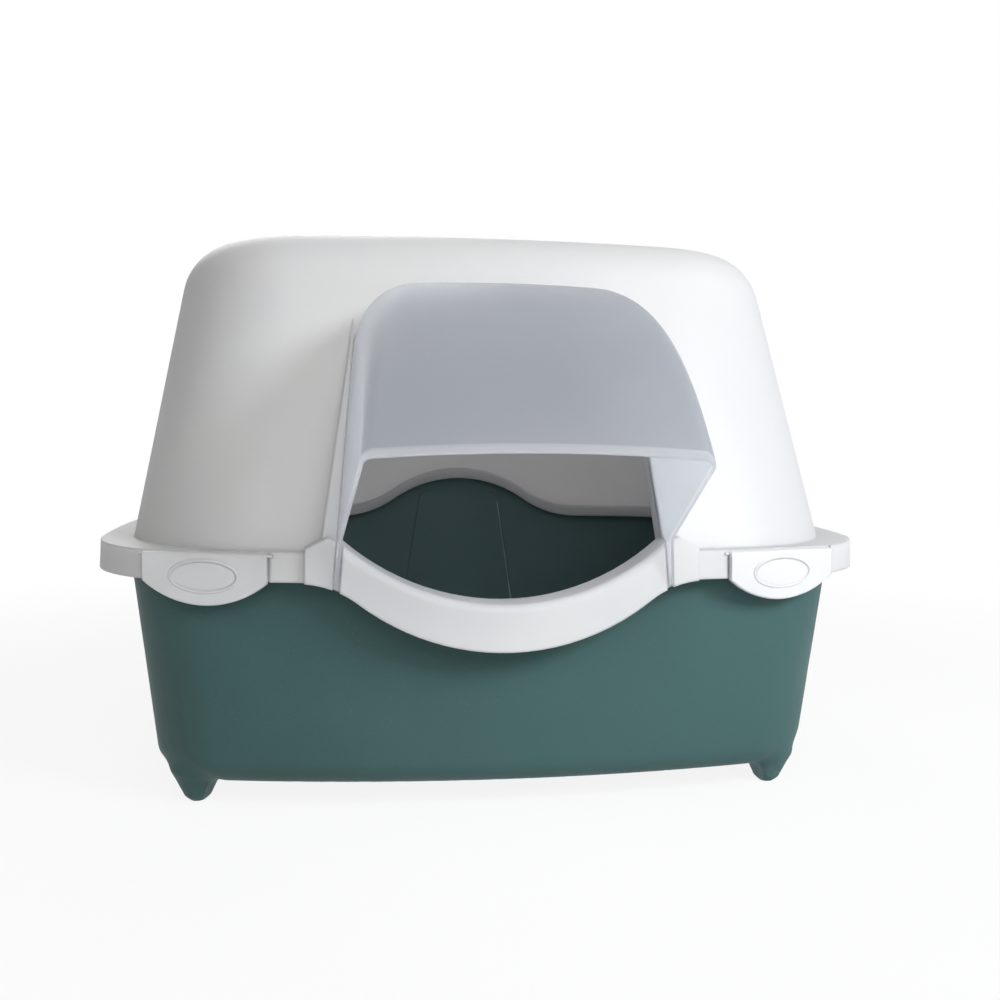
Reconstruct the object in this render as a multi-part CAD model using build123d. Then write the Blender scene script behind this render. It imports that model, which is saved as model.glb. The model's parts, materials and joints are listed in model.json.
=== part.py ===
from build123d import *
import math
import os

# A covered litter box: a tray, a hood that sits on its rim, a visor over the entry, four corner clips.
# Millimetres. X runs left to right, Y from the entry to the back, Z up. Heights are from the floor.

# Rim, where the hood's flange caps the tray's lip
rim_width = 560.0
rim_depth = 388.0
rim_corner = 100.0
rim_top = 179.0
skirt_height = 19.0
skirt_draft = 3.0
front_bow = 9.7
side_bow = 5.2
seat_gap = 0.3

# Hood: its wall stands in from the rim and draws in further towards the top
shelf_side = 20.5
shelf_front = 10.7
hood_height = 220.0
hood_side_draw = 31.0
hood_front_draw = 90.9
hood_back_draw = 13.1
hood_corner = 110.0
hood_top_round = 46.0
hood_wall = 2.5
drip_lip_side = 7.0
drip_lip_front = 8.5
drip_lip_height = 9.5
drip_lip_wall = 2.2

# Visor: half width and levels of the entry, with levels counted from the rim's top
entry_half = 110.0
tongue_drop = 21.0
cheek_rise = 8.0
visor_lean = 4.2
visor_taper = 4.0
visor_below_top = 46.0
visor_reach = 127.5
visor_front_rise = 72.0
roof_bulge = 35.0
visor_crown = 3.5
visor_wall = 2.0
visor_back_round = 46.5
visor_front_round = 7.0
free_edge_drop = 7.0
free_edge_round = 6.0
tongue_depth = 17.0
tongue_tip_depth = 6.0
bend_rise = 3.0
bend_round = 10.0

# Sill and the two pillars beside it, which stand proud of the flange
sill_drop = 33.0
sill_end_rise = 6.0
sill_end_in = 5.0
sill_depth = 30.0
sill_bottom_radius = 158.0
sill_round = 5.0
front_proud = 4.5
pillar_width = 18.0
pillar_slant = 3.5
pillar_out_rise = 2.5
pillar_in_rise = 10.0
pillar_foot = 4.0

# Seat of the visor in the hood, and the collar beside it
jamb_lap = 1.6
jamb_wall = 2.4
jamb_depth = 15.0
seat_depth = 4.0
entry_gap = 0.4
collar_drop = 20.0
collar_foot_width = 8.5
collar_top_width = 1.0
collar_foot_proud = 8.0
collar_top_proud = 1.5

# Tray: its wall stands in from the rim and draws in towards the floor
overhang_side = 23.0
overhang_front = 12.7
tray_side_draw = 18.1
tray_front_draw = 9.3
tray_corner = 63.0
tray_floor = 17.7
tray_floor_round = 20.0
tray_wall = 2.5
front_dip_radius = 180.0
back_rise = 37.0
back_rise_span = 116.0
back_rise_radius = 110.0
panel_top_half = 38.0
panel_foot_half = 62.0
panel_rise = 14.0
panel_corner = 9.0
panel_depth = 1.2

# Feet
foot_side_inset = 33.6
foot_front_inset = 47.0
foot_base = 5.0
foot_belly = 10.2
foot_belly_rise = 5.0
foot_waist = 14.2
foot_waist_rise = 12.5
foot_flare = 19.0
flare_lap = 0.6
flare_bow = 0.8
foot_top = 27.0

# Corner clips
clip_from_end = 130.0
clip_to_end = 47.0
clip_slot = 1.5
clip_thick = 3.5
clip_proud = 2.5
clip_side_drop = 20.0
clip_bottom_drop = 35.0
clip_top_round = 3.2
clip_edge_round = 1.2
clip_barrel = 1.4
clip_pin = 1.0
clip_pin_length = 1.8
clip_pin_gap = 0.1
clip_axis_drop = 2.5
clip_axis_inset = 1.0
clip_gap = 0.3
hook_width = 42.0
hook_thick = 2.6
hook_gap = 0.4
hook_lap = 1.5
hook_root = 1.0
oval_width = 47.0
oval_height = 22.0
oval_drop = 16.0
oval_line = 1.4
oval_depth = 0.6

# Sizes that follow from those above
hood_width = rim_width - 2 * shelf_side
hood_depth = rim_depth - 2 * shelf_front
hood_top = rim_top + hood_height
tray_width = rim_width - 2 * overhang_side
tray_depth = rim_depth - 2 * overhang_front
floor_width = tray_width - 2 * tray_side_draw
floor_depth = tray_depth - 2 * tray_front_draw
foot_x = floor_width / 2 - foot_side_inset
foot_y = floor_depth / 2 - foot_front_inset
visor_tip = rim_top - tongue_drop
cheek_foot = rim_top + cheek_rise
visor_top = hood_top - visor_below_top
visor_front = rim_depth / 2 + visor_reach
visor_front_top = rim_top + visor_front_rise
pillar_out = entry_half + pillar_width
pillar_in = entry_half + pillar_slant
clip_start_x = rim_width / 2 - clip_from_end
clip_end_x = rim_width / 2 - clip_to_end
clip_floor = clip_axis_inset + clip_barrel + clip_gap

# Working limits of the long cutting blocks
reach = rim_width
low = rim_top - 89
high = rim_top + 71


def side_arcs(half_width, half_depth, corner):
    """Radii of the front and side bows, so that they meet the corner arcs in tangent."""
    a, b = math.radians(front_bow), math.radians(side_bow)
    m, n = 1 - math.cos(a), math.sin(b)
    p, q = math.sin(a), 1 - math.cos(b)
    depth, width = half_depth - corner, half_width - corner
    det = m * q - n * p
    u = (depth * q - n * width) / det
    w = (m * width - p * depth) / det
    return u + corner, w + corner


def quarter(half_width, half_depth, corner):
    """Points of one corner at the front right: bow's end, corner's middle, corner's end."""
    front, side = side_arcs(half_width, half_depth, corner)
    a, b = math.radians(front_bow), math.radians(side_bow)
    cx = (front - corner) * math.sin(a)
    cy = -half_depth + front - (front - corner) * math.cos(a)
    turns = (a, (a + math.pi / 2 - b) / 2, math.pi / 2 - b)
    return [(cx + corner * math.sin(t), cy - corner * math.cos(t)) for t in turns]


def outline(half_width, half_depth, corner, z, y_mid=0.0):
    """Rounded rectangle with four gently bowed sides, as a closed wire."""
    p, m, q = quarter(half_width, half_depth, corner)

    def at(x, y):
        return Vector(x, y + y_mid, z)

    arcs = []
    for sy in (1, -1):
        arcs.append((at(-p[0], sy * p[1]), at(0, -sy * half_depth), at(p[0], sy * p[1])))
    for sx in (1, -1):
        arcs.append((at(sx * q[0], q[1]), at(sx * half_width, 0), at(sx * q[0], -q[1])))
    for sx in (1, -1):
        for sy in (1, -1):
            arcs.append((at(sx * p[0], sy * p[1]), at(sx * m[0], sy * m[1]), at(sx * q[0], sy * q[1])))
    return Wire([Edge.make_three_point_arc(*arc) for arc in arcs])


def rim_y(x):
    """Y of the rim's front outline at x, on the bow or on the corner arc."""
    half_width, half_depth = rim_width / 2, rim_depth / 2
    front, _ = side_arcs(half_width, half_depth, rim_corner)
    a = math.radians(front_bow)
    if x <= front * math.sin(a):
        return -half_depth + front - math.sqrt(front ** 2 - x ** 2)
    cx = (front - rim_corner) * math.sin(a)
    cy = -half_depth + front - (front - rim_corner) * math.cos(a)
    return cy - math.sqrt(rim_corner ** 2 - (x - cx) ** 2)


def rim_block(inset):
    """Block inside the rim's outline, with the skirt's draft."""
    wires = []
    for z in (low, high):
        grow = (rim_top - skirt_height - z) * math.tan(math.radians(skirt_draft)) - inset
        wires.append(outline(rim_width / 2 + grow, rim_depth / 2 + grow, rim_corner + grow, z))
    return Solid.make_loft(wires, ruled=True)


def lip_block(inset):
    """Upright block inside the drip lip's outline."""
    half_width = hood_width / 2 - drip_lip_side - inset
    half_depth = hood_depth / 2 - drip_lip_front - inset
    corner = hood_corner - drip_lip_side - inset
    wires = [outline(half_width, half_depth, corner, z) for z in (low, high)]
    return Solid.make_loft(wires, ruled=True)


def along_y(sketch, y_low, y_high):
    """Sketch drawn in X and Z, extruded from one Y to another."""
    return extrude(Plane.XZ.offset(-y_high) * sketch, amount=y_high - y_low)


def along_x(sketch, x_low, x_high):
    """Sketch drawn in Y and Z, extruded from one X to another."""
    return extrude(Plane.YZ.offset(x_low) * sketch, amount=x_high - x_low)


def polygon(points):
    return make_face(Polyline(*points, close=True))


def below_wave(flat, middle, half_span, middle_radius):
    """Area under a level line that swells or dips to a middle height in two tangent arcs."""
    sign = 1 if middle > flat else -1
    turn = 2 * math.atan(abs(middle - flat) / half_span)
    shoulder = half_span / math.sin(turn) - middle_radius
    join_x = middle_radius * math.sin(turn)
    join_z = middle - sign * middle_radius * (1 - math.cos(turn))
    half_x = half_span - shoulder * math.sin(turn / 2)
    half_z = flat + sign * shoulder * (1 - math.cos(turn / 2))
    lines = [
        Line((-reach, flat), (-half_span, flat)),
        ThreePointArc((-half_span, flat), (-half_x, half_z), (-join_x, join_z)),
        ThreePointArc((-join_x, join_z), (0, middle), (join_x, join_z)),
        ThreePointArc((join_x, join_z), (half_x, half_z), (half_span, flat)),
        Line((half_span, flat), (reach, flat)),
        Polyline((reach, flat), (reach, low), (-reach, low), (-reach, flat)),
    ]
    return make_face(Curve() + lines)


def below_sill(drop, side):
    """Area under the hood's front edge: flange, pillar, sill arc, pillar, flange."""
    right = [
        (entry_half - sill_end_in + side, rim_top + sill_end_rise - drop),
        (pillar_in - side / 2, rim_top + pillar_in_rise - drop),
        (pillar_out - side, rim_top + pillar_out_rise - drop),
        (pillar_out - side, rim_top - drop),
        (reach, rim_top - drop),
        (reach, low),
    ]
    left = [(-x, z) for x, z in reversed(right)]
    sill = ThreePointArc(left[-1], (0, rim_top - sill_drop - drop), right[0])
    return make_face(Curve() + [sill, Polyline(*right, *left)])


def below_hood_edge(drop, side=0.0):
    """Everything under the top surface of the hood's flange, lowered by a drop."""
    front = along_y(below_sill(drop, side), -reach, 0)
    back = below_wave(rim_top - drop, rim_top + back_rise - drop, back_rise_span, back_rise_radius)
    return front + along_y(back, 0, reach)


def below_skirt(lift=0.0):
    """Everything under the lower edge of the hood's skirt, raised by a lift."""
    flat = rim_top - skirt_height + lift
    middle = rim_top - sill_drop - sill_depth + lift
    front = below_wave(flat, middle, pillar_out + pillar_foot, sill_bottom_radius)
    back = below_wave(flat, flat + back_rise, back_rise_span, back_rise_radius)
    return along_y(front, -reach, 0) + along_y(back, 0, reach)


def below_tray_edge(drop=0.0):
    """Everything under the tray's lip, which lies a seat gap below the hood's flange."""
    flat = rim_top - hood_wall - seat_gap - drop
    front = below_wave(flat, flat - sill_drop, pillar_out + pillar_foot, front_dip_radius)
    back = below_wave(flat, flat + back_rise, back_rise_span, back_rise_radius)
    return along_y(front, -reach, 0) + along_y(back, 0, reach)


def clip_chord():
    """Middle, direction angle and length of the chord that a front right clip lies on."""
    y1, y2 = rim_y(clip_start_x), rim_y(clip_end_x)
    run, rise = clip_end_x - clip_start_x, y2 - y1
    return ((clip_start_x + clip_end_x) / 2, (y1 + y2) / 2), math.atan2(rise, run), math.hypot(run, rise)


def corner_places():
    """Plane of each clip: origin on its chord, x along it, z up, y inwards."""
    (x, y), turn, _ = clip_chord()
    places = {}
    for name, sx, sy in (("front_right", 1, 1), ("front_left", -1, 1), ("rear_right", 1, -1), ("rear_left", -1, -1)):
        along = Vector(sy * math.cos(turn), sx * math.sin(turn), 0)
        places[name] = Plane(origin=(sx * x, sy * y, 0), x_dir=along, z_dir=(0, 0, 1))
    return places


def clip_pockets(grow):
    """Recesses in the rim that the clips lie in, with walls grown by a thickness."""
    _, _, length = clip_chord()
    half = length / 2 + grow
    box = Box(2 * half, rim_corner, high - low, align=(Align.CENTER, Align.MAX, Align.MIN))
    box = Pos(0, clip_floor + grow, low) * box
    return [place.location * box for place in corner_places().values()]


def hood_outline(inset, z):
    """Outline of the hood's wall at a height, where each side has drawn in by its share."""
    share = (z - rim_top) / hood_height
    half_width = hood_width / 2 - share * hood_side_draw - inset
    half_depth = (hood_depth - share * (hood_front_draw + hood_back_draw)) / 2 - inset
    middle = share * (hood_front_draw - hood_back_draw) / 2
    return outline(half_width, half_depth, hood_corner - inset, z, middle)


def hood_face(z):
    """Y of the hood's front face at its middle, at a height."""
    return -hood_depth / 2 + (z - rim_top) / hood_height * hood_front_draw


def hood_form(inset):
    """Solid block of the hood's outside, or of a skin that far inside it."""
    form = Solid.make_loft([hood_outline(inset, low), hood_outline(inset, hood_top - inset)], ruled=True)
    crown = form.faces().sort_by(Axis.Z)[-1].edges()
    return fillet(crown, hood_top_round - inset)


def cheek_x(z):
    """X of a cheek's outer face at a height."""
    return entry_half - (z - visor_tip) * math.tan(math.radians(visor_lean))


def narrowing(y, z):
    """How far a cheek has come in, at a place ahead of the hood's face."""
    return (hood_face(z) - y) * math.tan(math.radians(visor_taper))


def arch(grow, crown_z, corner, foot_in=0.0, top_in=0.0):
    """Section across Y under a crowned top: leaning sides and rounded corners."""
    top = crown_z + grow
    shoulder = top - visor_crown
    foot_right = (cheek_x(low) + grow - foot_in, low)
    top_right = (cheek_x(shoulder) + grow - top_in, shoulder)
    foot_left, top_left = (-foot_right[0], low), (-top_right[0], shoulder)
    lines = [
        Polyline(top_left, foot_left, foot_right, top_right),
        ThreePointArc(top_right, (0, top), top_left),
    ]
    face = make_face(Curve() + lines)
    return fillet(face.vertices().sort_by(Axis.Y)[-2:], corner + grow)


def entry_arch(grow):
    """Section of the entry, which the visor's rear edge fills."""
    return arch(grow, visor_top, visor_back_round)


def roof_arc():
    """Centre and radius, in Y and Z, of the roof's arc from the hood's face to the front."""
    start = Vector(hood_face(visor_top), visor_top)
    end = Vector(-visor_front, visor_front_top)
    half = (end - start).length / 2
    radius = (half ** 2 + roof_bulge ** 2) / (2 * roof_bulge)
    inwards = Vector(start.Y - end.Y, end.X - start.X).normalized()
    return (start + end) / 2 + inwards * (radius - roof_bulge), radius


def visor_section(y, inset):
    """Section of the visor at a place along Y, narrower and with tighter corners towards the front."""
    centre, radius = roof_arc()
    top = centre.Y + math.sqrt((radius - inset) ** 2 - (y - centre.X) ** 2)
    taper_end = hood_face(visor_top - visor_crown - visor_back_round)
    share = min((y + visor_front) / (taper_end + visor_front), 1)
    corner = visor_front_round + share * (visor_back_round - visor_front_round)
    face = arch(-inset, top + inset, corner, narrowing(y, low), narrowing(y, top - visor_crown))
    return (Plane.XZ.offset(-y) * face).face().outer_wire()


def visor_block(inset):
    """Solid block of the visor's outside, or of a skin that far inside it."""
    first = -visor_front - seat_depth
    last = hood_face(visor_top) + 2 * seat_depth
    steps = 6
    places = [first + (last - first) * i / steps for i in range(steps + 1)]
    return Solid.make_loft([visor_section(y, inset) for y in places])


def tongue_back():
    """Distance ahead of the middle of the tongues' rear edge, in front of the groove's floor."""
    grow = skirt_height * math.tan(math.radians(skirt_draft))
    return -rim_y(entry_half) + entry_gap + grow / 2


def visor_side():
    """Side view of the visor: free edge, cheek's foot and the tongue that runs down the groove."""
    back = -tongue_back()
    corner = (-visor_front, visor_front_top - visor_crown - free_edge_drop)
    bend = (back - tongue_depth, cheek_foot + bend_rise)
    side = polygon([
        (0, hood_top),
        (-visor_front, hood_top),
        corner,
        bend,
        (back - tongue_tip_depth, visor_tip),
        (back, visor_tip),
        (back, cheek_foot),
        (0, cheek_foot),
    ])
    side = fillet([v for v in side.vertices() if (v.center() - Vector(*corner)).length < entry_gap], free_edge_round)
    return fillet([v for v in side.vertices() if (v.center() - Vector(*bend)).length < entry_gap], bend_round)


def visor():
    skin = (visor_block(0) - visor_block(visor_wall)) & along_x(visor_side(), -reach, reach)
    skin = skin & along_y(entry_arch(entry_gap / 4), -reach, 0)
    return skin - hood_form(seat_depth - entry_gap)


def groove_room():
    """Room between groove and tongue on the inside, for the cheek's taper along the tongue."""
    return narrowing(-tongue_back() - tongue_depth, cheek_foot)


def groove_cut():
    """Upright grooves for the tongues, in what stands proud of the flange."""
    ring = entry_arch(entry_gap) - entry_arch(-visor_wall - entry_gap - groove_room())
    return along_y(ring, -reach, 0) - rim_block(0)


def front_block(inset, side):
    """The sill band and pillars, proud of the flange, over the stretch between the pillars."""
    half = pillar_out - side
    stretch = along_y(polygon([(-half, low), (half, low), (half, high), (-half, high)]), -reach, 0)
    return rim_block(inset - front_proud) & stretch


def sill_band(under):
    """The sill and the pillars as one solid block, with the sill's top front edge rounded."""
    band = (front_block(0, 0) & under) - below_skirt()
    front = band.edges().filter_by(lambda e: e.geom_type == GeomType.BSPLINE and e.length > entry_half)
    return fillet(front.sort_by(Axis.Z)[-1:], sill_round)


def front_hollow():
    """Hollow behind the sill band and in each pillar, leaving the groove's floor and walls."""
    inner = cheek_x(rim_top) - visor_wall - entry_gap - groove_room() - hood_wall
    outer = entry_half + entry_gap + hood_wall
    areas = [polygon([(-inner, low), (inner, low), (inner, high), (-inner, high)])]
    for sx in (1, -1):
        a, b = sx * outer, sx * (pillar_out - hood_wall)
        areas.append(polygon([(a, low), (b, low), (b, high), (a, high)]))
    block = rim_block(hood_wall - front_proud)
    return [block & along_y(area, -reach, 0) for area in areas]


def flange():
    """The hood's cap over the tray's rim, with pillars, sill and drip lip."""
    under = below_hood_edge(0)
    cap = ((rim_block(0) - clip_pockets(0)) & under) - below_skirt()
    cap = cap + sill_band(under)
    hollow = rim_block(hood_wall) - clip_pockets(hood_wall)
    for part in front_hollow():
        hollow = hollow + part
    cap = cap - (hollow & below_hood_edge(hood_wall, hood_wall))
    cap = cap - lip_block(drip_lip_wall) - groove_cut()
    lip = lip_block(0) - lip_block(drip_lip_wall)
    lip = (lip & under) - below_hood_edge(drip_lip_height)
    return cap + lip


def collar():
    """Wedge-shaped frame at each side of the entry, widening and rising towards the pillar."""
    foot_z = rim_top + pillar_out_rise
    top_z = visor_top - collar_drop
    outer = entry_half + collar_foot_width
    bow = rim_y(outer) - rim_y(0)
    front = polygon([
        (hood_face(foot_z) + bow - collar_foot_proud, foot_z),
        (hood_face(top_z) + bow - collar_top_proud, top_z),
        (hood_face(top_z) + bow + hood_wall, top_z),
        (hood_face(foot_z) + bow + hood_wall, foot_z),
    ])
    slab = along_x(front, -reach, reach)
    parts = []
    for sx in (1, -1):
        inner_foot, inner_top = cheek_x(foot_z) + entry_gap, cheek_x(top_z) + entry_gap
        area = polygon([
            (sx * inner_foot, foot_z),
            (sx * outer, foot_z),
            (sx * (inner_top + collar_top_width), top_z),
            (sx * inner_top, top_z),
        ])
        parts.append(slab & along_y(area, -reach, 0))
    return parts


def clip_bores():
    """Blind bores in the pocket walls for the clips' pins."""
    _, _, length = clip_chord()
    bore = Cylinder(clip_pin + clip_pin_gap, length + 2 * (clip_pin_length + clip_gap))
    bore = Pos(0, clip_axis_inset, rim_top - clip_axis_drop) * (Rot(0, 90, 0) * bore)
    return [place.location * bore for place in corner_places().values()]


def hood():
    above = Pos(0, 0, low) * Box(2 * reach, 2 * reach, hood_top, align=(Align.CENTER, Align.CENTER, Align.MIN))
    above = above - below_hood_edge(hood_wall, hood_wall)
    outside = hood_form(0)
    shell = (outside - hood_form(hood_wall)) & above
    frame = along_y(entry_arch(entry_gap + jamb_wall), -reach, 0) & (outside - hood_form(jamb_depth)) & above
    body = shell + frame
    for part in collar():
        body = body + part
    body = body - (along_y(entry_arch(-jamb_lap), -reach, 0) & above)
    body = body - ((along_y(entry_arch(entry_gap), -reach, 0) - hood_form(seat_depth)) & above)
    body = body + flange()
    return body - clip_bores()


def tray_outline(inset, z):
    """Outline of the tray's drafted wall at a height."""
    share = (z - tray_floor) / (rim_top - tray_floor)
    half_width = floor_width / 2 + share * tray_side_draw - inset
    half_depth = floor_depth / 2 + share * tray_front_draw - inset
    return outline(half_width, half_depth, tray_corner - inset, z)


def feet(inset):
    """Turned feet: small flat base, rounded lobe, waist that flares a little into the floor."""
    base, belly = (foot_base - inset, inset), (foot_belly - inset, foot_belly_rise + inset)
    waist = (foot_waist - inset, foot_waist_rise + inset)
    flare = (foot_flare - inset, tray_floor + flare_lap + inset)
    bow = ((waist[0] + flare[0]) / 2 - flare_bow, (waist[1] + flare[1]) / 2 + flare_bow)
    area = make_face(Curve() + [
        Polyline((0, foot_top), (0, inset), base),
        ThreePointArc(base, belly, waist),
        ThreePointArc(waist, bow, flare),
        Polyline(flare, (foot_flare - inset, foot_top), (0, foot_top)),
    ])
    foot = revolve(Plane.XZ * area, Axis.Z)
    return [Pos(sx * foot_x, sy * foot_y, 0) * foot for sx in (1, -1) for sy in (1, -1)]


def tray_form(inset):
    """Solid block of the tray's outside, or of a skin that far inside it."""
    wires = [tray_outline(inset, tray_floor + inset), tray_outline(inset, high)]
    form = Solid.make_loft(wires, ruled=True)
    return fillet(form.faces().sort_by(Axis.Z)[0].edges(), tray_floor_round - inset)


def back_panel():
    """Block over the area of the back wall that is pressed inwards, narrower at its top."""
    area = polygon([
        (-panel_foot_half, tray_floor + tray_floor_round),
        (panel_foot_half, tray_floor + tray_floor_round),
        (panel_top_half, rim_top + panel_rise),
        (-panel_top_half, rim_top + panel_rise),
    ])
    area = fillet(area.vertices().sort_by(Axis.Y)[-2:], panel_corner)
    return along_y(area, 0, reach)


def base_tray():
    inset = hood_wall + seat_gap
    under = below_tray_edge()
    lip = (rim_block(inset) - clip_pockets(inset)) & under
    lip = lip - below_skirt(hook_gap)
    hollow = rim_block(inset + tray_wall) - clip_pockets(inset + tray_wall)
    lip = lip - (hollow & below_tray_edge(tray_wall))
    tub = tray_form(0) & (under + Pos(0, 0, low / 2) * Box(2 * reach, 2 * reach, low))
    panel = back_panel()
    tub = tub - (panel - tray_form(panel_depth))
    inside = tray_form(tray_wall) - (panel - tray_form(tray_wall + panel_depth))
    for part in feet(0):
        tub = tub + part
    for part in feet(tray_wall):
        inside = inside + part
    return lip + tub - inside


def clip():
    """A corner clip in its own plane: hinge barrel and pins, plate with an oval line, hook."""
    _, _, length = clip_chord()
    half = length / 2 - clip_slot
    axis_z = rim_top - clip_axis_drop
    side, bottom, top = rim_top - clip_side_drop, rim_top - clip_bottom_drop, axis_z + clip_barrel
    area = make_face(Curve() + [
        Polyline((-half, side), (-half, top), (half, top), (half, side)),
        ThreePointArc((half, side), (0, bottom), (-half, side)),
    ])
    plate = along_y(area, -clip_proud, clip_thick - clip_proud)
    rim = plate.faces().sort_by(Axis.Y)[0].edges()
    plate = fillet(rim.sort_by(Axis.Z)[-1:], clip_top_round)
    front = plate.faces().sort_by(Axis.Y)[0].edges().filter_by(lambda e: e.center().Z < top - clip_top_round)
    plate = fillet(front.sort_by(Axis.Z)[:1], clip_edge_round)
    ring = Ellipse(oval_width / 2, oval_height / 2) - Ellipse(oval_width / 2 - oval_line, oval_height / 2 - oval_line)
    plate = plate - along_y(Pos(0, rim_top - oval_drop) * ring, -clip_proud, oval_depth - clip_proud)
    barrel = Rot(0, 90, 0) * Cylinder(clip_barrel, 2 * half)
    pin = Rot(0, 90, 0) * Cylinder(clip_pin, length + 2 * clip_pin_length)
    hook_reach = clip_floor + hood_wall + seat_gap + hook_lap
    hook_start = clip_thick - clip_proud - hook_root
    hook = Box(hook_width, hook_reach - hook_start, hook_thick, align=(Align.CENTER, Align.MIN, Align.MAX))
    hook = Pos(0, hook_start, rim_top - skirt_height - hook_gap) * hook
    return plate + Pos(0, clip_axis_inset, axis_z) * (barrel + pin) + hook


def parts():
    made = {"base_tray": base_tray(), "hood": hood(), "entry_visor": visor()}
    shape = clip()
    for name, place in corner_places().items():
        made["clip_" + name] = place.location * shape
    return made


def main():
    os.makedirs("parts", exist_ok=True)
    made = parts()
    ahead = min(part.bounding_box().min.Y for part in made.values())
    behind = max(part.bounding_box().max.Y for part in made.values())
    shift = Location((0, -(ahead + behind) / 2, 0))
    for name, part in made.items():
        placed = shift * part
        export_step(placed, "parts/" + name + ".step")
    print("moved by", -(ahead + behind) / 2)


main()
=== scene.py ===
import json
import math

import bmesh
import bpy
import numpy as np
from mathutils import Matrix, Vector


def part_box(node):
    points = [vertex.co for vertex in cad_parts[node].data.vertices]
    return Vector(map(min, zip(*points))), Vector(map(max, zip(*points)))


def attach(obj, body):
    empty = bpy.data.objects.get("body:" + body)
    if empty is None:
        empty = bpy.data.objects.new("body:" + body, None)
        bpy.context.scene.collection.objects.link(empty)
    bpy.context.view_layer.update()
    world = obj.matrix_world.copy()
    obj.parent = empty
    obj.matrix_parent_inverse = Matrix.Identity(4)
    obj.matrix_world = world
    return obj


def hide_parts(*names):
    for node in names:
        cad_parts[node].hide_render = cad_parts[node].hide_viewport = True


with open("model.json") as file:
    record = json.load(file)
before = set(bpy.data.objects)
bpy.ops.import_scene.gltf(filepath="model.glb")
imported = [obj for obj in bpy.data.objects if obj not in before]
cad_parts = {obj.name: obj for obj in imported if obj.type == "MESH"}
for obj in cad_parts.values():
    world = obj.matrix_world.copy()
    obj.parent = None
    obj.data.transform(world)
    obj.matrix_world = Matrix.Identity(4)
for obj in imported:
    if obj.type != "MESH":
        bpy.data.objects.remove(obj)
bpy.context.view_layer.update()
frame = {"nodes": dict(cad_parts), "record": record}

# Everything is in metres, in the frame of the CAD model.

# Camera, from a fit to the photograph
image_width_px = 1000.0
focal_px = 1018.866
sensor_width_mm = 36.0
camera_place = Vector((-0.08653, -0.76988, 0.26341))
camera_yaw = math.radians(7.240)
camera_pitch_down = math.radians(4.437)
camera_roll = math.radians(-0.622)
camera_clip_start = 0.01

# Studio
aim = Vector((0.0, 0.03, 0.2))
floor_size = 30.0
floor_clear_radius = 0.45
floor_white_radius = 1.2
floor_lift = 0.88
world_from_right = 0.30
world_from_left = 0.0
background_white = 1.0

# Lamps: name, place, size, power in watts and colour
lamps = (
    ("key", (1.0, -1.05, 0.95), 0.55, 20.0, (0.93, 0.97, 1.0)),
    ("front", (0.0, -1.7, 1.35), 1.4, 17.0, (1.0, 0.985, 0.95)),
    ("back", (-0.5, 1.9, 1.5), 1.4, 16.0, (1.0, 1.0, 1.0)),
)

# Colours, linear
tray_teal = (0.048, 0.105, 0.104)
tray_teal_deep = (0.042, 0.092, 0.090)
tray_scuff = (0.13, 0.21, 0.20)
# Painted highlight along the right edge of the panel in the tray's back wall
tray_painted_highlight = (0.40, 0.46, 0.46)
# Painted sheen: the inner faces of the tray are lighter and greyer
tray_inner_sheen = (0.14, 0.21, 0.22)
hood_white = (0.82, 0.82, 0.82)
hood_white_cool = (0.79, 0.795, 0.81)
hood_glow = (0.80, 0.78, 0.78)
visor_milk = (0.59, 0.60, 0.63)
visor_milk_cool = (0.53, 0.55, 0.59)
visor_glow = (0.59, 0.605, 0.63)
# Painted highlight along the visor's free edge
visor_edge_highlight = (0.90, 0.91, 0.93)
# Painted light: visor faces turned to the sides are lighter and let more light through
side_painted_light = (0.66, 0.675, 0.70)
side_painted_light_through = (0.67, 0.685, 0.71)
visor_let_through = 0.34
visor_shadow_through = 0.62
clip_white = (0.66, 0.66, 0.67)
white_worn = (0.62, 0.63, 0.65)
visor_worn = (0.70, 0.71, 0.73)
floor_tones = ((0.84, 0.84, 0.845), (0.87, 0.87, 0.875))
plain_white = (1.0, 1.0, 1.0, 1.0)

# Finish of the plastics: roughness from and to, and depths of grain and slow waves in metres
tray_rough = (0.50, 0.60)
hood_rough = (0.40, 0.50)
visor_rough = (0.46, 0.54)
clip_rough = (0.30, 0.38)
tray_grain = 0.00006
hood_grain = 0.00006
visor_grain = 0.00005
clip_grain = 0.00004
waves_to_metre = 9.0
grains_to_metre = 2600.0
wall_wave = 0.0006
visor_wave = 0.0008
streak_depth = 0.0002
tray_specular = 0.22
white_specular = 0.45
visor_specular = 0.25
plastic_ior = 1.49
visor_ior = 1.45
hood_let_through = 0.35
clip_let_through = 0.1
visor_transmission = 0.8

# Share of the painted sheen inside the tray from and to, and wear: shares of scuffs, specks and scratches
inner_sheen_share = (0.45, 0.7)
scuff_below_z = 0.03
scuff_share = 0.45
speck_share = 0.25
tray_scratch_share = 0.18
pale_scratch_share = 0.10
white_dust_share = 0.05

# Feet that run smoothly into the tray's corners: middles in X and Y, reach and heights of the blend
foot_middles = [(side * 0.2053, y) for side in (-1, 1) for y in (-0.06028, 0.18972)]
blend_reach = 0.030
blend_fade = 0.008
blend_low = 0.004
blend_low_full = 0.010
blend_high_full = 0.030
blend_high = 0.040
blend_edge = 0.0018
blend_rounds = 110
blend_step = 0.5
blend_split_rounds = 8
blend_edge_samples = 9
weld_distance = 1e-6
crease = math.radians(32.0)

# Painted highlight along the right edge of the panel in the tray's back wall: places in X and Z of its foot
# and top
highlight_foot = (0.062, 0.024)
highlight_top = (0.038, 0.190)
highlight_half = 0.0007
highlight_behind_y = 0.19
highlight_fades_from = 0.180
highlight_fades_to = 0.186

# Middle of the tray: faces that look towards it get a painted sheen, lighter and greyer
tray_middle = (0.0, 0.065, 0.0)

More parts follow.
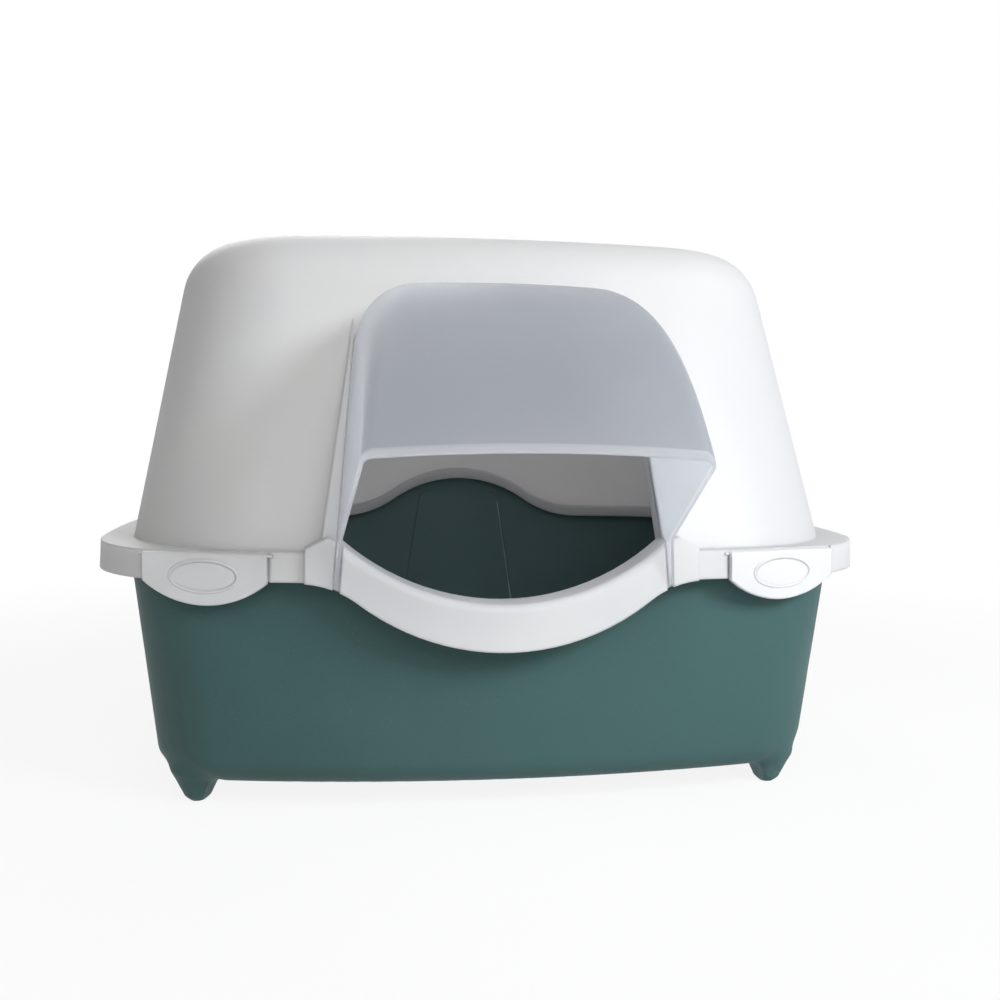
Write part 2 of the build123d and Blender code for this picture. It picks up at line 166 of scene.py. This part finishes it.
# Raised oval line on each clip and the streaky pad inside it
oval_centre_z = 0.163
oval_out = 0.0035
oval_half_length = 0.0228
oval_half_height = 0.0103
oval_bead = 0.0011
oval_bead_height = 0.0006
oval_pad_inset = 0.0010
oval_pad_height = 0.00012
oval_steps = 96
oval_bead_steps = 12

# Soft moulded edges, and the visor's free edge with its painted highlight: its front and its sloping run, in
# Y and Z
edge_soft = 0.0015
hood_edge_soft = 0.0028
visor_front_y = -0.2568
visor_slope_low = (-0.1419, 0.190)
visor_slope_high = (-0.2568, 0.2405)
visor_edge_width = 0.0024
visor_front_weight = 2.5
# How far a face turns to the side, in the X of its normal, before its painted light starts and is full
cheek_turn = (0.5, 0.97)


class Tree:
    """A material's node tree, cleared, with short calls to add and join nodes."""

    def __init__(self, name):
        self.material = bpy.data.materials.new(name)
        self.material.use_nodes = True
        self.nodes = self.material.node_tree.nodes
        self.links = self.material.node_tree.links
        self.nodes.clear()

    def add(self, kind, values=(), **settings):
        node = self.nodes.new("ShaderNode" + kind)
        for key, value in settings.items():
            setattr(node, key, value)
        for key, value in dict(values).items():
            socket = node.inputs[key]
            if isinstance(value, bpy.types.NodeSocket):
                self.links.new(value, socket)
            else:
                socket.default_value = value
        return node

    def place(self):
        """Place on the object in metres."""
        return self.add("TexCoord").outputs["Object"]

    def noise(self, scale, detail=2.0, rough=0.5, stretch=None):
        """Noise with so many features to a metre, optionally stretched along the axes."""
        where = self.place()
        if stretch:
            where = self.add("Mapping", {"Vector": where, "Scale": stretch}).outputs["Vector"]
        values = {"Vector": where, "Scale": scale, "Detail": detail, "Roughness": rough}
        return self.add("TexNoise", values).outputs["Fac"]

    def ramp(self, value, low, high, out_low=0.0, out_high=1.0, smooth=True):
        kind = "SMOOTHSTEP" if smooth else "LINEAR"
        values = {"Value": value, "From Min": low, "From Max": high, "To Min": out_low, "To Max": out_high}
        return self.add("MapRange", values, interpolation_type=kind).outputs["Result"]

    def math(self, kind, a, b=0.0):
        return self.add("Math", {0: a, 1: b}, operation=kind).outputs["Value"]

    def mix(self, factor, first, second):
        """Colour between two colours."""
        node = self.nodes.new("ShaderNodeMix")
        node.data_type = "RGBA"
        sockets = [s for s in node.inputs if s.enabled]
        for socket, value in zip(sockets, (factor, first, second)):
            if isinstance(value, bpy.types.NodeSocket):
                self.links.new(value, socket)
            else:
                socket.default_value = value if isinstance(value, float) else (*value, 1.0)[:4]
        return [s for s in node.outputs if s.enabled][0]

    def bump(self, height, distance, strength=1.0, under=None):
        values = {"Height": height, "Distance": distance, "Strength": strength}
        if under:
            values["Normal"] = under
        return self.add("Bump", values).outputs["Normal"]

    def finish(self, shader):
        self.add("OutputMaterial", {"Surface": shader})
        return self.material


def mould_bump(tree, grain, wave, soft_radius=edge_soft):
    """Fine moulded grain over soft edges and the slow waviness of a thin moulded wall."""
    soft = tree.add("Bevel", {"Radius": soft_radius}, samples=4).outputs["Normal"]
    slow = tree.bump(tree.noise(waves_to_metre, detail=1.0), wave, under=soft)
    return tree.bump(tree.noise(grains_to_metre, detail=1.0), grain, under=slow)


def scratches(tree, direction, amount):
    """Sparse fine scratches along one direction, from zero to an amount."""
    fine = tree.noise(120.0, detail=3.0, stretch=direction)
    lines = tree.ramp(fine, 0.66, 0.72, 0.0, 1.0)
    where = tree.ramp(tree.noise(11.0, detail=2.0), 0.5, 0.7, 0.0, 1.0)
    return tree.math("MULTIPLY", tree.math("MULTIPLY", lines, where), amount)


def painted_edge_highlight(tree):
    """One along the right edge of the back wall's panel, where a highlight is painted, broken up here and
    there.
    """
    plane = tree.add("SeparateXYZ", {"Vector": tree.place()})
    (x_foot, z_foot), (x_top, z_top) = highlight_foot, highlight_top
    line = tree.ramp(plane.outputs["Z"], z_foot, z_top, x_foot, x_top, smooth=False)
    off = tree.math("ABSOLUTE", tree.math("SUBTRACT", plane.outputs["X"], line))
    facing = tree.add("SeparateXYZ", {"Vector": tree.add("NewGeometry").outputs["True Normal"]}).outputs["Y"]
    inner = tree.math("LESS_THAN", facing, 0.0)
    behind = tree.math("MULTIPLY", tree.math("GREATER_THAN", plane.outputs["Y"], highlight_behind_y), inner)
    along = tree.ramp(tree.noise(40.0, detail=3.0), 0.35, 0.55, 0.5, 1.0)
    below = tree.ramp(plane.outputs["Z"], highlight_fades_to, highlight_fades_from)
    line_share = tree.math("MULTIPLY", tree.ramp(off, highlight_half, highlight_half / 3), behind)
    return tree.math("MULTIPLY", tree.math("MULTIPLY", line_share, along), below)


def tray_inside(tree):
    """One on faces that look towards the tray's middle, nought elsewhere."""
    facing = tree.add("NewGeometry").outputs["True Normal"]
    out = tree.add("VectorMath", {0: tree.place(), 1: tray_middle}, operation="SUBTRACT").outputs["Vector"]
    level = tree.add("VectorMath", {0: out, 1: (1.0, 1.0, 0.0)}, operation="MULTIPLY").outputs["Vector"]
    turned = tree.add("VectorMath", {0: level, 1: facing}, operation="DOT_PRODUCT").outputs["Value"]
    return tree.math("LESS_THAN", turned, 0.0)


def tray_plastic():
    """Satin teal-green polypropylene, scuffed near the floor, with a painted sheen that lightens the faces
    inside and a painted highlight on the back wall's panel edge.
    """
    tree = Tree("tray_satin_teal")
    tone = tree.ramp(tree.noise(5.0, detail=3.0), 0.35, 0.65)
    colour = tree.mix(tone, tray_teal_deep, tray_teal)
    speck = tree.ramp(tree.noise(900.0, detail=2.0), 0.62, 0.75, 0.0, speck_share)
    colour = tree.mix(speck, colour, tray_scuff)
    height = tree.add("SeparateXYZ", {"Vector": tree.place()}).outputs["Z"]
    near_floor = tree.ramp(height, scuff_below_z, 0.0)
    scuffs = tree.ramp(tree.noise(60.0, detail=4.0, rough=0.7), 0.48, 0.7, 0.0, scuff_share)
    scratched = scratches(tree, (1.0, 1.0, 18.0), tray_scratch_share)
    worn = tree.math("MAXIMUM", tree.math("MULTIPLY", near_floor, scuffs), scratched)
    colour = tree.mix(worn, colour, tray_scuff)
    # Painted sheen, patchy: the faces inside the tray are made lighter and greyer
    patches = tree.ramp(tree.noise(7.0, detail=3.0), 0.3, 0.7, *inner_sheen_share)
    colour = tree.mix(tree.math("MULTIPLY", tray_inside(tree), patches), colour, tray_inner_sheen)
    # Painted highlight along the right edge of the back wall's panel
    colour = tree.mix(painted_edge_highlight(tree), colour, tray_painted_highlight)
    rough = tree.ramp(tree.noise(14.0, detail=4.0), 0.3, 0.7, *tray_rough)
    rough = tree.math("ADD", rough, tree.math("MULTIPLY", worn, 0.3))
    normal = mould_bump(tree, tray_grain, wall_wave)
    values = {"Base Color": colour, "Roughness": rough, "Normal": normal, "IOR": plastic_ior,
              "Specular IOR Level": tray_specular}
    return tree.finish(tree.add("BsdfPrincipled", values).outputs["BSDF"])


def white_plastic(name, colour, rough_range, grain, let_through, streaks=0.0, soft=edge_soft):
    """Satin white polypropylene that lets a little light through its wall."""
    tree = Tree(name)
    tone = tree.ramp(tree.noise(6.0, detail=3.0), 0.35, 0.65)
    base = tree.mix(tone, hood_white_cool, colour)
    worn = scratches(tree, (1.0, 1.0, 14.0), pale_scratch_share)
    patches = tree.ramp(tree.noise(260.0, detail=4.0, rough=0.65), 0.60, 0.74, 0.0, white_dust_share)
    base = tree.mix(tree.math("MAXIMUM", worn, patches), base, white_worn)
    rough = tree.ramp(tree.noise(12.0, detail=4.0), 0.3, 0.7, *rough_range)
    rough = tree.math("ADD", rough, tree.math("MULTIPLY", worn, 0.8))
    normal = mould_bump(tree, grain, wall_wave, soft)
    if streaks:
        normal = tree.bump(tree.noise(45.0, detail=4.0, stretch=(1.0, 1.0, 30.0)), streaks, under=normal)
    values = {"Base Color": base, "Roughness": rough, "Normal": normal, "IOR": plastic_ior,
              "Specular IOR Level": white_specular}
    face = tree.add("BsdfPrincipled", values).outputs["BSDF"]
    through = tree.add("BsdfTranslucent", {"Color": (*hood_glow, 1.0)}).outputs["BSDF"]
    return tree.finish(tree.add("MixShader", {0: let_through, 1: face, 2: through}).outputs["Shader"])


def near_free_edge(tree):
    """One along the visor's free edge, nought further in."""
    plane = tree.add("SeparateXYZ", {"Vector": tree.place()})
    (y_low, z_low), (y_high, z_high) = visor_slope_low, visor_slope_high
    run, rise = y_high - y_low, z_high - z_low
    length = math.hypot(run, rise)
    across_y, across_z = rise / length, -run / length
    from_slope = tree.math("ADD", tree.math("MULTIPLY", plane.outputs["Y"], across_y),
                           tree.math("MULTIPLY", plane.outputs["Z"], across_z))
    from_slope = tree.math("SUBTRACT", from_slope, y_low * across_y + z_low * across_z)
    from_front = tree.math("SUBTRACT", plane.outputs["Y"], visor_front_y)
    nearest = tree.math("MINIMUM", from_slope, tree.math("MULTIPLY", from_front, visor_front_weight))
    return tree.ramp(nearest, visor_edge_width, visor_edge_width / 2)


def visor_plastic():
    """Milky translucent polypropylene, painted lighter on faces turned to the sides and with a painted
    highlight along the free edge.
    """
    tree = Tree("visor_milky_frost")
    tone = tree.ramp(tree.noise(8.0, detail=3.0), 0.35, 0.65)
    base = tree.mix(tone, visor_milk_cool, visor_milk)
    facing = tree.add("SeparateXYZ", {"Vector": tree.add("NewGeometry").outputs["Normal"]}).outputs["X"]
    # Painted light: faces turned to the sides are made lighter
    painted_side_light = tree.ramp(tree.math("ABSOLUTE", facing), *cheek_turn)
    base = tree.mix(painted_side_light, base, side_painted_light)
    worn = scratches(tree, (1.0, 9.0, 1.0), pale_scratch_share)
    base = tree.mix(worn, base, visor_worn)
    # Painted highlight along the free edge
    base = tree.mix(near_free_edge(tree), base, visor_edge_highlight)
    rough = tree.ramp(tree.noise(15.0, detail=4.0), 0.3, 0.7, *visor_rough)
    rough = tree.math("ADD", rough, worn)
    normal = mould_bump(tree, visor_grain, visor_wave)
    values = {"Base Color": base, "Roughness": rough, "Normal": normal, "IOR": visor_ior,
              "Transmission Weight": visor_transmission, "Specular IOR Level": visor_specular}
    face = tree.add("BsdfPrincipled", values).outputs["BSDF"]
    # Painted light: faces turned to the sides let more light through
    through = tree.add("BsdfTranslucent", {"Color": tree.mix(painted_side_light, visor_glow, side_painted_light_through)}).outputs["BSDF"]
    skin = tree.add("MixShader", {0: visor_let_through, 1: face, 2: through}).outputs["Shader"]
    shadow = tree.math("MULTIPLY", tree.add("LightPath").outputs["Is Shadow Ray"], visor_shadow_through)
    clear = tree.add("BsdfTransparent").outputs["BSDF"]
    return tree.finish(tree.add("MixShader", {0: shadow, 1: skin, 2: clear}).outputs["Shader"])


def blend_weights(points):
    """How far each point takes part in the blend of the feet, from nought to one."""
    across = np.min([np.hypot(points[:, 0] - x, points[:, 1] - y) for x, y in foot_middles], axis=0)
    height = points[:, 2]
    near = np.clip((blend_reach - across) / blend_fade, 0.0, 1.0)
    above = np.clip((height - blend_low) / (blend_low_full - blend_low), 0.0, 1.0)
    below = np.clip((blend_high - height) / (blend_high - blend_high_full), 0.0, 1.0)
    return near * above * below


def split_long_edges(form):
    """Divide the edges near the feet until they are short."""
    for _ in range(blend_split_rounds):
        ends = np.array([[*e.verts[0].co, *e.verts[1].co] for e in form.edges])
        shares = np.linspace(0.0, 1.0, blend_edge_samples)
        near = [blend_weights(a * ends[:, :3] + (1.0 - a) * ends[:, 3:]) > 0.0 for a in shares]
        long = np.linalg.norm(ends[:, :3] - ends[:, 3:], axis=1) > blend_edge
        chosen = [e for e, take in zip(form.edges, np.any(near, axis=0) & long) if take]
        if not chosen:
            return
        bmesh.ops.subdivide_edges(form, edges=chosen, cuts=1)
        bmesh.ops.triangulate(form, faces=[f for f in form.faces if len(f.verts) > 3])


def relax(form):
    """Even out the surface near the feet, so that they flow into the corners."""
    form.verts.ensure_lookup_table()
    points = np.array([v.co for v in form.verts])
    ends = np.array([[e.verts[0].index, e.verts[1].index] for e in form.edges])
    share = blend_weights(points)[:, None]
    moving = share[:, 0] > 0.0
    ends = ends[moving[ends].any(axis=1)]
    first = np.concatenate([ends[:, 0], ends[:, 1]])
    other = np.concatenate([ends[:, 1], ends[:, 0]])
    count = np.maximum(np.bincount(first, minlength=len(points)), 1)[:, None]
    for _ in range(blend_rounds):
        total = [np.bincount(first, weights=points[other, axis], minlength=len(points)) for axis in range(3)]
        points += blend_step * share * (np.transpose(total) / count - points)
    for vert, point in zip(form.verts, points):
        vert.co = point


def add_tray(material):
    """The tray with feet that run smoothly into its corners, in place of the CAD node."""
    form = bmesh.new()
    form.from_mesh(frame["nodes"]["base_tray"].data)
    bmesh.ops.remove_doubles(form, verts=form.verts, dist=weld_distance)
    form.verts.index_update()
    split_long_edges(form)
    form.verts.index_update()
    relax(form)
    form.normal_update()
    for face in form.faces:
        face.smooth = True
    for edge in form.edges:
        edge.smooth = len(edge.link_faces) == 2 and edge.calc_face_angle(0.0) < crease
    mesh = bpy.data.meshes.new("tray_moulding")
    form.to_mesh(mesh)
    form.free()
    if "custom_normal" in mesh.attributes:
        mesh.attributes.remove(mesh.attributes["custom_normal"])
    mesh.materials.clear()
    mesh.materials.append(material)
    piece = bpy.data.objects.new("tray_moulding", mesh)
    bpy.context.scene.collection.objects.link(piece)
    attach(piece, "tray")
    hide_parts("base_tray")


def add_oval(node, line_material, pad_material):
    """Raised oval line on a clip's plate, with a thin streaky pad inside it."""
    hinge = next(j for j in frame["record"]["behaviour"]["joints"] if j["child"] == node)
    along = Vector(hinge["axis"])
    out = Vector((along.y, -along.x, 0.0)).normalized()
    hinge_x, hinge_y, _ = hinge["pos_m"]
    hood_middle_y = sum(corner.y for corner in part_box("hood")) / 2
    out *= math.copysign(1.0, out.y * (hinge_y - hood_middle_y))
    centre = Vector((hinge_x, hinge_y, oval_centre_z)) + out * oval_out

    def point(turn, grow, height):
        across = along * (math.cos(turn) * (oval_half_length + grow))
        upright = Vector((0.0, 0.0, math.sin(turn) * (oval_half_height + grow)))
        return centre + across + upright + out * height

    form = bmesh.new()
    turns = [2.0 * math.pi * i / oval_steps for i in range(oval_steps)]
    rounds = [2.0 * math.pi * i / oval_bead_steps for i in range(oval_bead_steps)]
    bead = [(oval_bead * math.cos(b), oval_bead_height * math.sin(b)) for b in rounds]
    rings = [[form.verts.new(point(a, grow, height)) for grow, height in bead] for a in turns]
    for i, ring in enumerate(rings):
        after = rings[(i + 1) % oval_steps]
        for j in range(oval_bead_steps):
            k = (j + 1) % oval_bead_steps
            form.faces.new((ring[j], ring[k], after[k], after[j]))
    pad_top = [form.verts.new(point(a, -oval_pad_inset, oval_pad_height)) for a in turns]
    pad_low = [form.verts.new(point(a, -oval_pad_inset, -oval_pad_height)) for a in turns]
    pad = [form.faces.new(pad_top), form.faces.new(list(reversed(pad_low)))]
    for i in range(oval_steps):
        k = (i + 1) % oval_steps
        pad.append(form.faces.new((pad_top[i], pad_low[i], pad_low[k], pad_top[k])))
    for face in form.faces:
        face.smooth = len(face.verts) == 4 and face not in pad
    for face in pad:
        face.material_index = 1
    bmesh.ops.recalc_face_normals(form, faces=form.faces)
    name = "oval_" + node
    mesh = bpy.data.meshes.new(name)
    form.to_mesh(mesh)
    form.free()
    mesh.materials.append(line_material)
    mesh.materials.append(pad_material)
    piece = bpy.data.objects.new(name, mesh)
    bpy.context.scene.collection.objects.link(piece)
    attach(piece, node)


def dress(node, material):
    """Give a CAD node its material on every slot."""
    piece = frame["nodes"][node]
    if not piece.data.materials:
        piece.data.materials.append(material)
    for slot in piece.material_slots:
        slot.material = material


def add_camera():
    forward = Vector((
        math.sin(camera_yaw) * math.cos(camera_pitch_down),
        math.cos(camera_yaw) * math.cos(camera_pitch_down),
        -math.sin(camera_pitch_down),
    ))
    level = Vector((math.cos(camera_yaw), -math.sin(camera_yaw), 0.0))
    upright = level.cross(forward)
    right = math.cos(camera_roll) * level - math.sin(camera_roll) * upright
    up = math.sin(camera_roll) * level + math.cos(camera_roll) * upright
    data = bpy.data.cameras.new("camera")
    data.sensor_width = sensor_width_mm
    data.lens = focal_px / image_width_px * sensor_width_mm
    data.clip_start = camera_clip_start
    camera = bpy.data.objects.new("camera", data)
    turn = Matrix((right, up, -forward)).transposed()
    camera.matrix_world = Matrix.Translation(camera_place) @ turn.to_4x4()
    bpy.context.scene.collection.objects.link(camera)
    bpy.context.scene.camera = camera


def add_lamp(name, place, size, power, colour):
    data = bpy.data.lights.new(name, "AREA")
    data.shape = "DISK"
    data.size = size
    data.energy = power
    data.color = colour
    lamp = bpy.data.objects.new(name, data)
    lamp.location = place
    lamp.rotation_euler = (aim - Vector(place)).to_track_quat("-Z", "Y").to_euler()
    bpy.context.scene.collection.objects.link(lamp)


def sees_background(tree):
    """One for rays that show the background: camera, glossy and transmission rays."""
    path = tree.add("LightPath")
    seen = tree.math("MAXIMUM", path.outputs["Is Camera Ray"], path.outputs["Is Glossy Ray"])
    return tree.math("MAXIMUM", seen, path.outputs["Is Transmission Ray"])


def add_floor():
    """A pale floor that keeps the object's shadow and turns plain white further out."""
    tree = Tree("floor_pale")
    plane = tree.add("SeparateXYZ", {"Vector": tree.place()})
    squares = [tree.math("POWER", plane.outputs[axis], 2.0) for axis in "XY"]
    away = tree.ramp(tree.math("SQRT", tree.math("ADD", *squares)), floor_clear_radius, floor_white_radius)
    tone = tree.mix(tree.noise(3.0, detail=3.0), *floor_tones)
    matt = tree.add("BsdfDiffuse", {"Color": tone}).outputs["BSDF"]
    glow = {"Color": plain_white, "Strength": background_white}
    white = tree.add("Emission", glow).outputs["Emission"]
    lifted = tree.math("MULTIPLY", sees_background(tree), floor_lift)
    lift = tree.add("MixShader", {0: lifted, 1: matt, 2: white})
    far = tree.math("MULTIPLY", away, sees_background(tree))
    shader = tree.add("MixShader", {0: far, 1: lift.outputs["Shader"], 2: white})
    bpy.ops.mesh.primitive_plane_add(size=floor_size, location=(0.0, 0.0, 0.0))
    floor = bpy.context.object
    floor.name = "floor"
    floor.data.materials.append(tree.finish(shader.outputs["Shader"]))


def add_world():
    world = bpy.data.worlds.new("studio")
    world.use_nodes = True
    nodes, links = world.node_tree.nodes, world.node_tree.links
    nodes.clear()
    path = nodes.new("ShaderNodeLightPath")
    seen = path.outputs["Is Camera Ray"]
    for name in ("Is Glossy Ray", "Is Transmission Ray"):
        either = nodes.new("ShaderNodeMath")
        either.operation = "MAXIMUM"
        links.new(seen, either.inputs[0])
        links.new(path.outputs[name], either.inputs[1])
        seen = either.outputs["Value"]
    side = nodes.new("ShaderNodeSeparateXYZ")
    links.new(nodes.new("ShaderNodeTexCoord").outputs["Generated"], side.inputs["Vector"])
    level = nodes.new("ShaderNodeMapRange")
    links.new(side.outputs["X"], level.inputs["Value"])
    ends = {"From Min": -1.0, "From Max": 1.0, "To Min": world_from_left, "To Max": world_from_right}
    for name, value in ends.items():
        level.inputs[name].default_value = value
    soft = nodes.new("ShaderNodeBackground")
    links.new(level.outputs["Result"], soft.inputs["Strength"])
    white = nodes.new("ShaderNodeBackground")
    white.inputs["Strength"].default_value = background_white
    for light in (soft, white):
        light.inputs["Color"].default_value = plain_white
    mix = nodes.new("ShaderNodeMixShader")
    links.new(seen, mix.inputs[0])
    links.new(soft.outputs["Background"], mix.inputs[1])
    links.new(white.outputs["Background"], mix.inputs[2])
    output = nodes.new("ShaderNodeOutputWorld")
    links.new(mix.outputs["Shader"], output.inputs["Surface"])
    bpy.context.scene.world = world


def dress_all():
    clip_finish = (clip_white, clip_rough, clip_grain, clip_let_through)
    clip_material = white_plastic("clip_satin_white", *clip_finish)
    add_tray(tray_plastic())
    hood_finish = (hood_white, hood_rough, hood_grain, hood_let_through)
    dress("hood", white_plastic("hood_satin_white", *hood_finish, soft=hood_edge_soft))
    dress("entry_visor", visor_plastic())
    streaky = white_plastic("clip_streaky_white", *clip_finish, streaks=streak_depth)
    for node in frame["nodes"]:
        if node.startswith("clip_"):
            dress(node, clip_material)
            add_oval(node, clip_material, streaky)


bpy.context.scene.view_settings.view_transform = "Standard"
add_world()
add_floor()
for lamp in lamps:
    add_lamp(*lamp)
add_camera()
dress_all()
